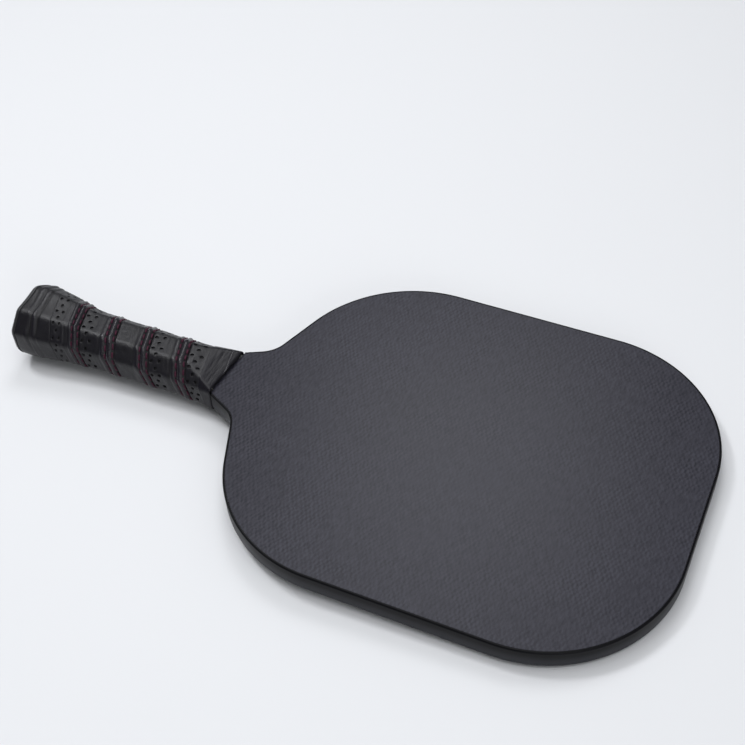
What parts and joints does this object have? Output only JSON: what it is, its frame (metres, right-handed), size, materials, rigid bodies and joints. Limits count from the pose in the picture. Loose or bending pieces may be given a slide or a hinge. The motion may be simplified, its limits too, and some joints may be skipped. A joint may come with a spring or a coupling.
{
  "type": "pickleball paddle",
  "caption": "Edgeless pickleball paddle: matt woven carbon faces on a honeycomb core, rounded black edge, octagonal handle with a stitched, perforated spiral grip and flared butt.",
  "frame": {"origin": "below the middle of the paddle's bounding box, at the height of the lowest point of the flared butt, with the paddle lying flat on its back face", "axes": "+X along the paddle from the butt to the tip of the head, +Y across the head, +Z out of the front face"},
  "size_m": [0.392, 0.2032, 0.0355],
  "materials": {
    "face_laminate": "matt charcoal carbon laminate with a fine woven texture",
    "edge_black": "satin black moulded edge",
    "core_plastic": "translucent polypropylene honeycomb",
    "scrim_veil": "white non-woven veil",
    "edge_foam": "closed-cell foam",
    "handle_foam": "moulded rigid foam",
    "underlay_tape": "double-sided adhesive tape",
    "cap_black": "satin black moulded cap",
    "badge_black": "blank glossy end badge",
    "staple_steel": "plated steel wire",
    "grip_leatherette": "satin black cushioned leatherette, perforated and stitched",
    "finishing_tape": "satin black finishing tape",
    "stitch_thread": "dull crimson polyester thread"
  },
  "bodies": {
    "root": {"front_face_skin": "face_laminate", "back_face_skin": "face_laminate", "honeycomb_core": "core_plastic", "front_core_scrim": "scrim_veil", "back_core_scrim": "scrim_veil", "perimeter_foam": "edge_foam", "edge_band": "edge_black", "front_handle_pallet": "handle_foam", "back_handle_pallet": "handle_foam", "front_underlay_tape": "underlay_tape", "back_underlay_tape": "underlay_tape", "butt_cap": "cap_black", "butt_badge": "badge_black", "butt_cap_staple_front": "staple_steel", "butt_cap_staple_back": "staple_steel", "grip_wrap": "grip_leatherette", "finishing_tape": "finishing_tape", "stitch_thread_1": "stitch_thread", "stitch_thread_2": "stitch_thread"}
  },
  "joints": []
}
